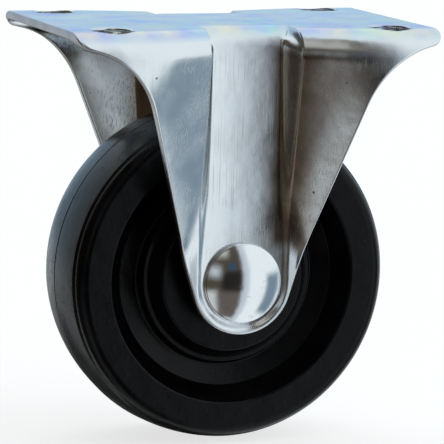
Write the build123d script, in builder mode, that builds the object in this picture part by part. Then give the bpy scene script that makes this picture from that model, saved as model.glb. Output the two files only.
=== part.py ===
from build123d import *
from math import cos, radians, sin, sqrt, tan
import os

os.makedirs("parts", exist_ok=True)

# A fixed castor: one pressed sheet-steel bracket, a rivet through its two legs,
# a steel tube on the rivet, and a moulded wheel that runs on the tube.
# The origin is on the plate's top face, in the middle of its four holes.
# +X is the rolling direction, Y is the axle and +Z is up. All sizes are in millimetres.

# Bracket: sheet and plate
sheet = 2.0
plate_length = 88.6
plate_width = 66.0
plate_corner_radius = 6.0
hole_inset_x = 10.3
hole_inset_y = 10.0
hole_radius = 5.1

# Bracket: legs
axle_depth = 60.0
leg_face = 19.3
leg_end_radius = 12.2
leg_taper = 17.5
swoop_radius = 16.0
swoop_drop = 2.8
bend_inner_radius = 8.0

# Bracket: the flanks lean out from the legs' flat faces, both upward and away from the middle.
# Level with the plate's top they would stand this far beyond its corners, if the bends were sharp.
flank_rise = 0.194
flank_start = 12.2
flank_middle = 11.9
flank_overhang = 7.1

# Bracket: the flat band pressed in between the flanks
band_half_width = 9.3
band_wall_slope = 0.6
band_bend_inner_radius = 2.0
crest_inner_radius = 0.6

# Axle rivet and the tube that it clamps between the legs
shank_radius = 4.0
shank_clearance = 0.05
head_radius = 9.5
head_rim = 1.3
head_rise = 2.4
tail_radius = 6.2
tail_rise = 2.6
tube_radius = 6.0

# Wheel
wheel_radius = 40.0
tread_crown = 2.1
shoulder_fillet = 2.6
face_plane = 13.8
face_inner_radius = 30.0
web_outer_radius = 26.6
web_outer_plane = 8.4
web_inner_radius = 21.6
web_inner_plane = 6.8
step_radius = 19.8
step_plane = 9.2
step_width = 1.0
hub_radius = 17.4
hub_plane = 13.2
boss_radius = 9.4
moulded_fillet = 0.6
boss_clearance = 0.4
running_clearance = 0.06

# The pressed form is made this much larger than the blank, and the blank's outline then trims it
form_margin = 10.0
near = 0.01

# Values worked out from the sizes above
hole_spacing_x = plate_length - 2 * hole_inset_x
hole_spacing_y = plate_width - 2 * hole_inset_y
leg_inner = leg_face - sheet
form_bottom = -axle_depth - leg_end_radius - form_margin
form_reach = plate_length + form_margin
flank_width = plate_width / 2 + flank_overhang - leg_face - flank_rise * (axle_depth - flank_start)
flank_spread = flank_width / (plate_length / 2 - flank_middle)
spread_lean = sqrt(1 + flank_spread**2)
rise_lean = sqrt(1 + (flank_rise / spread_lean) ** 2)
wall_lean = sqrt(1 + band_wall_slope**2)
axle_level = Plane.XY.offset(-axle_depth)
axle_line = Axis((0, 0, -axle_depth), (0, 1, 0))
pin_bore = shank_radius + shank_clearance
wheel_bore = tube_radius + running_clearance
boss_plane = leg_inner - boss_clearance


def dome_radius(rim, rise):
    """The radius of a dome of this rise over a round rim."""
    return (rim**2 + rise**2) / (2 * rise)


def flank_place(z, inset):
    """How far a flank stands, at a height z, from the upright plane through the origin that spreads with it."""
    height = z + axle_depth - flank_start
    return (leg_face + flank_rise * height - flank_spread * flank_middle) / spread_lean - inset * rise_lean


def quarter(inset, mouth):
    """The +X +Y quarter of the pressed form: a flank with its bend up to the plate, and the wall beside the band."""
    face = leg_face - inset
    across = Plane(origin=(0, 0, 0), x_dir=(-flank_spread, 1, 0), z_dir=(1, flank_spread, 0))
    wall = Plane(origin=(mouth, face, 0), x_dir=(band_wall_slope, 1, 0), z_dir=(1, -band_wall_slope, 0))
    with BuildPart() as form:
        with BuildSketch(across) as section:
            with BuildLine():
                Polyline(
                    (-form_reach, -inset),
                    (flank_place(-inset, inset), -inset),
                    (flank_place(form_bottom, inset), form_bottom),
                    (-form_reach, form_bottom),
                    close=True,
                )
            make_face()
            bend = section.vertices().group_by(Axis.Y)[-1].sort_by(Axis.X)[-1]
            fillet(bend, bend_inner_radius + sheet - inset)
        extrude(amount=form_reach, both=True)
        with BuildSketch(Plane.XY.offset(form_bottom)):
            Rectangle(form_reach, form_reach, align=(Align.MIN, Align.MIN))
        extrude(amount=-form_bottom, mode=Mode.INTERSECT)
        split(bisect_by=wall, keep=Keep.TOP)
        wall_side = form.faces().filter_by(lambda side: abs(abs(side.normal_at().dot(wall.z_dir)) - 1) < near)
        crest = wall_side.edges().filter_by(lambda edge: edge.center().Z > form_bottom + near)
        crest = crest.filter_by(lambda edge: edge.center().X > near)
        fillet(crest, crest_inner_radius + sheet - inset)
    return form.part


def band(inset, mouth):
    """The block whose sides are the flat bands, rounded over into the plate."""
    face = leg_face - inset
    with BuildPart() as block:
        with BuildSketch(Plane.XY.offset(form_bottom)):
            Rectangle(2 * mouth, 2 * face)
        extrude(amount=-inset - form_bottom)
        fillet(block.faces().sort_by(Axis.Z)[-1].edges().filter_by(Axis.X), band_bend_inner_radius + sheet - inset)
    return block.part


def pressed_form(inset):
    """The sheet's outer side, or its inner side where inset is the sheet's thickness."""
    # The legs' flat faces reach up to where the flanks stand clear of them all the way across
    leg_top = -axle_depth + flank_start + flank_spread * flank_middle / flank_rise + 2 * sheet
    mouth = band_half_width + inset * (wall_lean - band_wall_slope)
    corner = quarter(inset, mouth)
    middle = band(inset, mouth)
    with BuildPart() as form:
        add(corner)
        mirror(about=Plane.XZ)
        mirror(about=Plane.YZ)
        add(middle)
        with BuildSketch(Plane.XY.offset(form_bottom)):
            Rectangle(2 * form_reach, 2 * (leg_face - inset))
        extrude(amount=leg_top - form_bottom)
    return form.part


# Bracket
with BuildPart() as bracket:
    add(pressed_form(0))
    add(pressed_form(sheet), mode=Mode.SUBTRACT)
    with BuildSketch(Plane.XY.offset(form_bottom)):
        RectangleRounded(plate_length, plate_width, plate_corner_radius)
    extrude(amount=-form_bottom, mode=Mode.INTERSECT)
    # The side outline: tapered legs with round ends, swept up to the plate's corners by large arcs
    with BuildSketch(Plane.XZ.offset(-plate_width)) as outline:
        taper = radians(leg_taper)
        foot = leg_end_radius * cos(taper)
        foot_level = -axle_depth - leg_end_radius * sin(taper)
        root = foot + (-swoop_drop - foot_level) * tan(taper)
        with BuildLine():
            Polyline(
                (-foot, foot_level),
                (foot, foot_level),
                (root, -swoop_drop),
                (form_reach, -swoop_drop),
                (form_reach, sheet),
                (-form_reach, sheet),
                (-form_reach, -swoop_drop),
                (-root, -swoop_drop),
                close=True,
            )
        make_face()
        inner_corners = outline.vertices().filter_by(lambda corner: abs(abs(corner.X) - root) < near)
        fillet(inner_corners, swoop_radius)
        with Locations((0, -axle_depth)):
            Circle(leg_end_radius)
    extrude(amount=2 * plate_width, mode=Mode.INTERSECT)
    with GridLocations(hole_spacing_x, hole_spacing_y, 2, 2):
        Hole(hole_radius, depth=leg_face)
    with BuildSketch(Plane.XZ.offset(-plate_width)):
        with Locations((0, -axle_depth)):
            Circle(pin_bore)
    extrude(amount=2 * plate_width, mode=Mode.SUBTRACT)
bracket.part.label = "bracket"
export_step(bracket.part, "parts/bracket.step")

# Axle rivet: a low domed head on the -Y side and a closed tail on the +Y side
with BuildPart() as axle_rivet:
    with BuildSketch(axle_level):
        with BuildLine():
            head_edge = (head_radius, -leg_face - head_rim)
            head_top = (0, -leg_face - head_rim - head_rise)
            tail_edge = (tail_radius, leg_face)
            tail_top = (0, leg_face + tail_rise)
            Line(head_top, tail_top)
            RadiusArc(tail_top, tail_edge, dome_radius(tail_radius, tail_rise))
            Polyline(
                tail_edge,
                (shank_radius, leg_face),
                (shank_radius, -leg_face),
                (head_radius, -leg_face),
                head_edge,
            )
            RadiusArc(head_edge, head_top, dome_radius(head_radius, head_rise))
        make_face()
    revolve(axis=axle_line)
axle_rivet.part.label = "axle_rivet"
export_step(axle_rivet.part, "parts/axle_rivet.step")

# Axle tube: holds the legs apart, and the wheel runs on it
with BuildPart() as axle_tube:
    with BuildSketch(Plane.XZ.offset(-leg_inner)):
        with Locations((0, -axle_depth)):
            Circle(tube_radius)
            Circle(pin_bore, mode=Mode.SUBTRACT)
    extrude(amount=2 * leg_inner)
axle_tube.part.label = "axle_tube"
export_step(axle_tube.part, "parts/axle_tube.step")

# Wheel: one moulding, with a crowned tread, a flat rim face, a deep web and a stepped hub
with BuildPart() as wheel:
    with BuildSketch(axle_level) as half:
        tread_edge = wheel_radius - tread_crown
        with BuildLine():
            Polyline(
                (wheel_radius, 0),
                (wheel_bore, 0),
                (wheel_bore, boss_plane),
                (boss_radius, boss_plane),
                (boss_radius, hub_plane),
                (hub_radius, hub_plane),
                (step_radius, step_plane),
                (step_radius + step_width, step_plane),
                (web_inner_radius, web_inner_plane),
                (web_outer_radius, web_outer_plane),
                (face_inner_radius, face_plane),
                (tread_edge, face_plane),
            )
            # A crown of even radius drops by a quarter of its height at half its width
            ThreePointArc(
                (tread_edge, face_plane),
                (wheel_radius - tread_crown / 4, face_plane / 2),
                (wheel_radius, 0),
            )
        make_face()
        moulded = half.vertices().filter_by(lambda corner: web_inner_radius - near < corner.X < tread_edge - near)
        fillet(moulded, moulded_fillet)
        shoulder = half.vertices().filter_by(lambda corner: abs(corner.X - tread_edge) < near)
        fillet(shoulder, shoulder_fillet)
    revolve(axis=axle_line)
    mirror(about=Plane.XZ)
wheel.part.label = "wheel"
export_step(wheel.part, "parts/wheel.step")
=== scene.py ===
"""The looks of a fixed castor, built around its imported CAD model.

The bracket is drawn as one pressed sheet of even thickness, and the wheel, the axle rivet and the
tube are turned from their profiles. All places are in metres, in the frame of the CAD model: the
origin is on the plate's top face between its four holes, +X is the rolling direction, Y is the axle
and +Z is up.
"""

import logging
import math
from dataclasses import dataclass
from enum import Enum

import bmesh
import bpy
import numpy as np
from mathutils import Matrix, Vector


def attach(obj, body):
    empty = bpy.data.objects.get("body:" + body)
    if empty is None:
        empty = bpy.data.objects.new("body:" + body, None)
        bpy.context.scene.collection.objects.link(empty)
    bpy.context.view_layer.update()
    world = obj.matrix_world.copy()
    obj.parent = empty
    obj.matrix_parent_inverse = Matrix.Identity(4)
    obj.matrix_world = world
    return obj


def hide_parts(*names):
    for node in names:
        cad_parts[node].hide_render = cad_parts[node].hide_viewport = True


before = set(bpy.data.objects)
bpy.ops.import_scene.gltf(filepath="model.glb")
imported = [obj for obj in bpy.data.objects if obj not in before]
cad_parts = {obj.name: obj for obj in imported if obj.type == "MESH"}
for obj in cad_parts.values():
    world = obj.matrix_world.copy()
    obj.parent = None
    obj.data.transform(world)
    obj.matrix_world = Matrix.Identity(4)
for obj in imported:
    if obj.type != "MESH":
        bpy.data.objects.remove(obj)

# One millimetre, and the distance under which points are joined
MM = 0.001
JOINED = 0.001 * MM
# Keeps divisions off zero
NEAR = 1e-9
# How often a search halves its range
HALVINGS = 32
HOLE_SEGMENTS = 96

# What a node's input takes: another node's output, or a plain value
Socket = bpy.types.NodeSocket
Feed = Socket | float | tuple

logging.basicConfig(level=logging.INFO, format="%(name)s: %(message)s")
LOG = logging.getLogger("castor")


class Body(Enum):
    """The two bodies that move apart: the bracket with its axle, and the wheel."""

    BRACKET = "bracket"
    WHEEL = "wheel"


@dataclass
class Boundary:
    """A face of a solid: at each of many points, the distance out from it and its outward direction."""

    distance: np.ndarray
    normal: np.ndarray

    def turned_over(self) -> "Boundary":
        """Returns: the same face, seen from its other side."""
        return Boundary(-self.distance, -self.normal)

    def set_in(self, inset: float) -> "Boundary":
        """Returns: the face that lies this far inside the solid."""
        return Boundary(self.distance + inset, self.normal)


def smooth(share: np.ndarray) -> np.ndarray:
    """Returns: shares from 0 to 1, with a soft start and end."""
    share = np.clip(share, 0, 1)
    return share**2 * (3 - 2 * share)


def plane_face(points: np.ndarray, place: tuple, outward: tuple) -> Boundary:
    """A flat face.

    Args:
        points: the points, one a row.
        place: any point on the face.
        outward: its outward direction, of any length.

    Returns:
        The face's boundary at the points.
    """
    direction = np.array(outward, float)
    direction /= np.linalg.norm(direction)
    return Boundary((points - np.array(place, float)) @ direction, np.broadcast_to(direction, points.shape))


def rounded_corner(first: Boundary, second: Boundary, radius: float) -> Boundary:
    """What lies inside two faces, with a round of a true radius where they meet.

    Args:
        first: one face.
        second: the other face.
        radius: the round's radius.

    Returns:
        The boundary of the rounded corner.
    """
    cosine = (first.normal * second.normal).sum(-1)
    spread = np.maximum(1 - cosine**2, NEAR)
    along_first = (first.distance + radius - cosine * (second.distance + radius)) / spread
    along_second = (second.distance + radius - cosine * (first.distance + radius)) / spread
    outward = along_first[:, None] * first.normal + along_second[:, None] * second.normal
    length = np.maximum(np.linalg.norm(outward, axis=-1), NEAR)
    in_round = (along_first > 0) & (along_second > 0) & (1 - cosine**2 > NEAR)
    flat = np.where((first.distance > second.distance)[:, None], first.normal, second.normal)
    distance = np.where(in_round, length - radius, np.maximum(first.distance, second.distance))
    return Boundary(distance, np.where(in_round[:, None], outward / length[:, None], flat))


def rounded_hollow(first: Boundary, second: Boundary, radius: float) -> Boundary:
    """What lies inside either of two faces, with a round of a true radius in the hollow between them."""
    return rounded_corner(first.turned_over(), second.turned_over(), radius).turned_over()


def rounded_path(points: list, radii: list, steps: int, support: float) -> list:
    """A line through points with its corners rounded, and a point close to each end of its straight runs.

    Args:
        points: the corners, as pairs, with both ends.
        radii: the radius at each point, where the two ends' are not used.
        steps: how many pieces each round has.
        support: how far from a round the extra points lie, which keep its shading off the flats.

    Returns:
        The points of the finished line, as pairs.
    """
    corners = [Vector(p) for p in points]
    path = [corners[0]]
    for before, corner, after, radius in zip(corners, corners[1:], corners[2:], radii[1:]):
        back, ahead = (before - corner).normalized(), (after - corner).normalized()
        half = back.angle(ahead) / 2
        reach = radius / math.tan(half)
        centre = corner + (back + ahead).normalized() * (radius / math.sin(half))
        start = corner + back * reach - centre
        turn = start.angle_signed(corner + ahead * reach - centre)
        path.append(corner + back * (reach + support))
        path += [centre + Matrix.Rotation(-turn * i / steps, 2) @ start for i in range(steps + 1)]
        path.append(corner + ahead * (reach + support))
    path.append(corners[-1])
    return [tuple(p) for p in path]


def linked(name: str, mesh: bpy.types.Mesh) -> bpy.types.Object:
    """Puts a mesh into the scene.

    Args:
        name: the new piece's name.
        mesh: its mesh, in the frame's place.

    Returns:
        The piece, with its object at the origin.
    """
    piece = bpy.data.objects.new(name, mesh)
    bpy.context.scene.collection.objects.link(piece)
    return piece


def write_outwards(shape: bmesh.types.BMesh, mesh: bpy.types.Mesh) -> None:
    """Writes a shape into a mesh with every face pointing outwards, and frees the shape.

    Args:
        shape: the shape.
        mesh: the mesh that takes it.
    """
    bmesh.ops.recalc_face_normals(shape, faces=shape.faces)
    shape.to_mesh(mesh)
    shape.free()


def baked(piece: bpy.types.Object) -> bpy.types.Object:
    """Turns what a piece's modifiers make into its own plain mesh, with every face pointing outwards.

    Args:
        piece: the piece, with its modifiers.

    Returns:
        The same piece, with the finished mesh and no modifiers.
    """
    seen = piece.evaluated_get(bpy.context.evaluated_depsgraph_get())
    mesh = bpy.data.meshes.new_from_object(seen)
    piece.modifiers.clear()
    piece.data = mesh
    shape = bmesh.new()
    shape.from_mesh(mesh)
    bmesh.ops.remove_doubles(shape, verts=shape.verts, dist=JOINED)
    write_outwards(shape, mesh)
    mesh.shade_smooth()
    return piece


class NodeTree:
    """A tree of nodes, and the short ways in which this file adds to one."""

    def __init__(self, tree: bpy.types.NodeTree) -> None:
        """Takes Blender's own tree, to add to it."""
        self.tree = tree

    def node(
        self, kind: str, links: dict | None = None, values: dict | None = None, **settings: object
    ) -> bpy.types.Node:
        """Adds a node.

        Args:
            kind: the node's type.
            links: which socket feeds each input, by the input's name or place.
            values: the plain value of each input, by the input's name or place.
            **settings: the node's own settings.

        Returns:
            The new node.
        """
        new = self.tree.nodes.new(kind)
        for name, value in settings.items():
            setattr(new, name, value)
        for name, value in (values or {}).items():
            new.inputs[name].default_value = value
        for name, socket in (links or {}).items():
            self.tree.links.new(socket, new.inputs[name])
        return new


class GeometryTree(NodeTree):
    """A Geometry Nodes tree with named inputs, which makes one piece from a mesh that it is given."""

    def __init__(self, name: str) -> None:
        """Starts an empty tree.

        Args:
            name: the tree's name.
        """
        super().__init__(bpy.data.node_groups.new(name, "GeometryNodeTree"))
        self.tree.interface.new_socket("Geometry", in_out="INPUT", socket_type="NodeSocketGeometry")
        self.tree.interface.new_socket("Geometry", in_out="OUTPUT", socket_type="NodeSocketGeometry")
        self.source = self.tree.nodes.new("NodeGroupInput")
        self.names: dict = {}

    def size(self, name: str, kind: str = "NodeSocketFloat") -> Socket:
        """Adds a named input, and returns the socket inside the tree that gives its value."""
        self.names[name] = self.tree.interface.new_socket(name, in_out="INPUT", socket_type=kind).identifier
        return self.source.outputs[name]

    def laid_on_axle(self, geometry: Socket, depth: Socket) -> Socket:
        """Lays a shape that stands upright on the origin along the axle.

        Args:
            geometry: the upright shape.
            depth: how far the axle is below the origin.

        Returns:
            The shape in its place.
        """
        down = self.node("ShaderNodeMath", {0: depth}, {1: -1.0}, operation="MULTIPLY")
        place = self.node("ShaderNodeCombineXYZ", {"Z": down.outputs[0]})
        laid = self.node(
            "GeometryNodeTransform",
            {"Geometry": geometry, "Translation": place.outputs[0]},
            {"Rotation": (math.pi / 2, 0, 0)},
        )
        return laid.outputs[0]

    def close(self, geometry: Socket) -> None:
        """Ends the tree with Realize Instances and Set Material.

        Args:
            geometry: the socket that gives the finished shape.
        """
        finish = self.size("Finish", "NodeSocketMaterial")
        real = self.node("GeometryNodeRealizeInstances", {"Geometry": geometry})
        dressed = self.node("GeometryNodeSetMaterial", {"Geometry": real.outputs[0], "Material": finish})
        self.node("NodeGroupOutput", {"Geometry": dressed.outputs[0]})

    def put_on(self, piece: bpy.types.Object, **values: object) -> bpy.types.Object:
        """Runs the tree on a piece and keeps the result as its mesh.

        Args:
            piece: the piece, whose mesh the tree starts from.
            **values: the tree's named inputs, with spaces written as underscores.

        Returns:
            The same piece, with the finished mesh.
        """
        modifier = piece.modifiers.new(self.tree.name, "NODES")
        modifier.node_group = self.tree
        for name, value in values.items():
            modifier[self.names[name.replace("_", " ")]] = value
        return baked(piece)


class ShaderTree(NodeTree):
    """A tree of shader nodes, whose methods take either a socket or a plain value."""

    def feed(self, socket: Socket, value: Feed) -> None:
        """Links a socket, or sets its plain value.

        Args:
            socket: the input.
            value: the socket that feeds it, or its value.
        """
        if isinstance(value, Socket):
            self.tree.links.new(value, socket)
        else:
            socket.default_value = value

    def maths(self, operation: str, *values: Feed) -> Socket:
        """Adds a Math node.

        Args:
            operation: its operation.
            *values: its inputs in order.

        Returns:
            The result.
        """
        new = self.node("ShaderNodeMath", operation=operation)
        for socket, value in zip(new.inputs, values):
            self.feed(socket, value)
        return new.outputs[0]

    def mixed(self, share: Feed, first: Feed, second: Feed) -> Socket:
        """Mixes two colours.

        Args:
            share: how much of the second there is.
            first: the first colour.
            second: the second colour.

        Returns:
            The mixed colour.
        """
        new = self.node("ShaderNodeMix", data_type="RGBA")
        # A Mix node's inputs 6 and 7, and its output 2, are those for colours
        for socket, value in zip((new.inputs[0], new.inputs[6], new.inputs[7]), (share, first, second)):
            self.feed(socket, value)
        return new.outputs[2]

    def eased(self, value: Feed, start: Feed, end: Feed, low: Feed = 0.0, high: Feed = 1.0) -> Socket:
        """Leads a value smoothly from one level to another.

        Args:
            value: the value.
            start: where the change begins.
            end: where it is done.
            low: the result before it.
            high: the result after it.

        Returns:
            The result.
        """
        new = self.node("ShaderNodeMapRange", interpolation_type="SMOOTHSTEP")
        for socket, given in zip(new.inputs, (value, start, end, low, high)):
            self.feed(socket, given)
        return new.outputs[0]

    def effect(self, group: "EffectGroup", **values: Feed) -> Socket:
        """Places an effect.

        Args:
            group: the effect.
            **values: its inputs, with spaces written as underscores.

        Returns:
            What it puts out.
        """
        new = self.node("ShaderNodeGroup", node_tree=group.tree)
        for name, value in values.items():
            self.feed(new.inputs[name.replace("_", " ")], value)
        return new.outputs[0]


class EffectGroup(ShaderTree):
    """A shader node group with named inputs and one output."""

    def __init__(self, name: str, inputs: dict, output: tuple) -> None:
        """Starts the group.

        Args:
            name: the group's name.
            inputs: each input's name and the last part of its socket's type.
            output: the same two for its output.
        """
        super().__init__(bpy.data.node_groups.new(name, "ShaderNodeTree"))
        for label, kind in inputs.items():
            self.tree.interface.new_socket(label, in_out="INPUT", socket_type=f"NodeSocket{kind}")
        label, kind = output
        self.tree.interface.new_socket(label, in_out="OUTPUT", socket_type=f"NodeSocket{kind}")
        self.given = self.node("NodeGroupInput").outputs
        self.result = self.node("NodeGroupOutput").inputs[0]

    def noise(self, vector: Socket, detail: float) -> Socket:
        """Adds a noise texture of unit scale.

        Args:
            vector: its coordinates, already scaled.
            detail: how many finer layers it has.

        Returns:
            Its value, around a half.
        """
        new = self.node("ShaderNodeTexNoise", values={"Scale": 1.0, "Detail": detail})
        self.feed(new.inputs["Vector"], vector)
        return new.outputs[0]


def streaks_group() -> EffectGroup:
    """Makes fine lines that run one way, as scratches, drawing marks and turning marks do.

    Returns:
        The group. Scale gives how often the pattern changes in a metre along each axis, and Level how
        rare the lines are, where noise passes 0.5 half of the time.
    """
    softness = 0.09
    made = EffectGroup(
        "streaks", {"Position": "Vector", "Scale": "Vector", "Level": "Float"}, ("Mask", "Float")
    )
    level = made.given["Level"]
    scaled = made.node(
        "ShaderNodeVectorMath", {0: made.given["Position"], 1: made.given["Scale"]}, operation="MULTIPLY"
    )
    line = made.noise(scaled.outputs[0], detail=2.0)
    made.feed(made.result, made.eased(line, level, made.maths("ADD", level, softness)))
    return made


def patches_group() -> EffectGroup:
    """Makes soft uneven patches, for tints, smudges and ripples.

    Returns:
        The group. Size is a patch's usual size in metres, and Seed moves the pattern.
    """
    made = EffectGroup(
        "patches", {"Position": "Vector", "Size": "Float", "Seed": "Float"}, ("Mask", "Float")
    )
    scale = made.maths("DIVIDE", 1.0, made.given["Size"])
    scaled = made.node(
        "ShaderNodeVectorMath", {0: made.given["Position"], "Scale": scale}, operation="SCALE"
    )
    moved = made.node("ShaderNodeVectorMath", {0: scaled.outputs[0], 1: made.given["Seed"]}, operation="ADD")
    uneven = made.noise(moved.outputs[0], detail=3.0)
    made.feed(made.result, made.eased(uneven, start=0.3, end=0.7))
    return made


def specks_group() -> EffectGroup:
    """Makes small scattered spots, for pits and dust.

    Returns:
        The group. Spacing is the distance between places where a spot may lie, Radius a spot's largest
        radius as a share of it, and Share how many of the places have one.
    """
    made = EffectGroup(
        "specks",
        {"Position": "Vector", "Spacing": "Float", "Radius": "Float", "Share": "Float"},
        ("Mask", "Float"),
    )
    cells = made.node(
        "ShaderNodeTexVoronoi",
        {"Vector": made.given["Position"], "Scale": made.maths("DIVIDE", 1.0, made.given["Spacing"])},
    )
    chance = made.node("ShaderNodeSeparateColor", {0: cells.outputs["Color"]})
    radius = made.maths("MULTIPLY", made.given["Radius"], chance.outputs[1])
    spot = made.eased(cells.outputs["Distance"], made.maths("MULTIPLY", radius, 0.5), radius, 1.0, 0.0)
    kept = made.maths("LESS_THAN", chance.outputs[0], made.given["Share"])
    made.feed(made.result, made.maths("MULTIPLY", spot, kept))
    return made


def panel_group() -> EffectGroup:
    """Makes one soft-edged panel of light or dark, seen all round in a direction.

    Returns:
        The group. Its angles are in radians.
    """
    made = EffectGroup(
        "light_panel",
        {
            "Behind": "Color",
            "Azimuth": "Float",
            "Elevation": "Float",
            "Middle Azimuth": "Float",
            "Middle Elevation": "Float",
            "Half Width": "Float",
            "Half Height": "Float",
            "Softness": "Float",
            "Colour": "Color",
        },
        ("Colour", "Color"),
    )
    masks = []
    for way, half in (("Azimuth", "Half Width"), ("Elevation", "Half Height")):
        away = made.maths("SUBTRACT", made.given[way], made.given[f"Middle {way}"])
        away = made.maths("ABSOLUTE", made.maths("WRAP", away, math.pi, -math.pi))
        inner = made.maths("SUBTRACT", made.given[half], made.given["Softness"])
        outer = made.maths("ADD", made.given[half], made.given["Softness"])
        masks.append(made.eased(away, inner, outer, 1.0, 0.0))
    share = made.maths("MULTIPLY", *masks)
    made.feed(made.result, made.mixed(share, made.given["Behind"], made.given["Colour"]))
    return made


@dataclass(frozen=True)
class Effects:
    """The shader groups that the finishes share, each built once."""

    streaks: EffectGroup
    patches: EffectGroup
    specks: EffectGroup


def turning_tree() -> GeometryTree:
    """Makes the tree that turns a profile about the axle.

    Returns:
        The tree. It starts from a line of points in X and Y, where X is the radius and Y the place
        along the axle.
    """
    made = GeometryTree("turned_about_axle")
    segments = made.size("Segments", "NodeSocketInt")
    depth = made.size("Axle Depth")
    path_radius = 10 * MM
    shifted = made.node(
        "GeometryNodeTransform",
        {"Geometry": made.source.outputs["Geometry"]},
        {"Translation": (-path_radius, 0, 0)},
    )
    profile = made.node("GeometryNodeMeshToCurve", {"Mesh": shifted.outputs[0]})
    circle = made.node("GeometryNodeCurvePrimitiveCircle", {"Resolution": segments}, {"Radius": path_radius})
    swept = made.node(
        "GeometryNodeCurveToMesh", {"Curve": circle.outputs[0], "Profile Curve": profile.outputs[0]}
    )
    closed = made.node("GeometryNodeMergeByDistance", {"Geometry": swept.outputs[0]}, {"Distance": JOINED})
    made.close(made.laid_on_axle(closed.outputs[0], depth))
    return made


def punching_tree() -> GeometryTree:
    """Makes the tree that punches the bolt holes and the axle's holes into the pressed sheet.

    Returns:
        The tree. Its Punch input is the punch, standing on the origin.
    """
    made = GeometryTree("punched_sheet")
    spacing_x, spacing_y = made.size("Spacing X"), made.size("Spacing Y")
    punch = made.size("Punch", "NodeSocketObject")
    bore = made.size("Bore Radius")
    depth = made.size("Axle Depth")
    length = made.size("Bore Length")
    grid = made.node(
        "GeometryNodeMeshGrid", {"Size X": spacing_x, "Size Y": spacing_y}, {"Vertices X": 2, "Vertices Y": 2}
    )
    tool = made.node("GeometryNodeObjectInfo", {"Object": punch})
    holes = made.node(
        "GeometryNodeInstanceOnPoints", {"Points": grid.outputs[0], "Instance": tool.outputs["Geometry"]}
    )
    pin = made.node(
        "GeometryNodeMeshCylinder", {"Radius": bore, "Depth": length}, {"Vertices": HOLE_SEGMENTS}
    )
    laid = made.laid_on_axle(pin.outputs[0], depth)
    real = made.node("GeometryNodeRealizeInstances", {"Geometry": holes.outputs[0]})
    cut = made.node(
        "GeometryNodeMeshBoolean", {"Mesh 1": made.source.outputs["Geometry"]}, solver="MANIFOLD"
    )
    made.tree.links.new(real.outputs[0], cut.inputs["Mesh 2"])
    made.tree.links.new(laid, cut.inputs["Mesh 2"])
    made.close(cut.outputs[0])
    return made


def profile_piece(name: str, path: list) -> bpy.types.Object:
    """Makes a line that a turning tree can turn.

    Args:
        name: the piece's name.
        path: its points, as pairs of radius and place along the axle.

    Returns:
        The piece, which holds only the line.
    """
    mesh = bpy.data.meshes.new(name)
    mesh.from_pydata([(r, y, 0) for r, y in path], [(i, i + 1) for i in range(len(path) - 1)], [])
    return linked(name, mesh)


class FinishTree(ShaderTree):
    """The node tree of one finish, around its Principled BSDF."""

    def __init__(self, name: str) -> None:
        """Starts a material.

        Args:
            name: its name.
        """
        self.material = bpy.data.materials.new(name)
        self.material.use_nodes = True
        super().__init__(self.material.node_tree)
        self.shader = self.tree.nodes["Principled BSDF"]
        self.position = self.node("ShaderNodeTexCoord").outputs["Object"]

    def pattern(self, group: EffectGroup, **values: Feed) -> Socket:
        """Returns: an effect over the piece's own coordinates, where values are its other inputs."""
        return self.effect(group, Position=self.position, **values)

    def relief(self, height: Socket, depth: float, below: Socket | None = None) -> Socket:
        """Adds a Bump node.

        Args:
            height: the height, from 0 to 1.
            depth: how deep that is, in metres.
            below: the normal that it starts from, if there is one.

        Returns:
            The new normal.
        """
        bump = self.node("ShaderNodeBump", {"Height": height}, {"Strength": 1.0, "Distance": depth})
        if below is not None:
            self.feed(bump.inputs["Normal"], below)
        return bump.outputs[0]

    def finished(self, colour: Socket, roughness: Socket, normal: Socket) -> bpy.types.Material:
        """Feeds the shader.

        Args:
            colour: its base colour.
            roughness: its roughness.
            normal: its normal.

        Returns:
            The finished material.
        """
        for name, value in (("Base Color", colour), ("Roughness", roughness), ("Normal", normal)):
            self.feed(self.shader.inputs[name], value)
        return self.material


@dataclass(frozen=True)
class Tint:
    """A faint colour that lies over part of a finish in patches."""

    colour: tuple
    size: float
    seed: float
    strength: float


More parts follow.
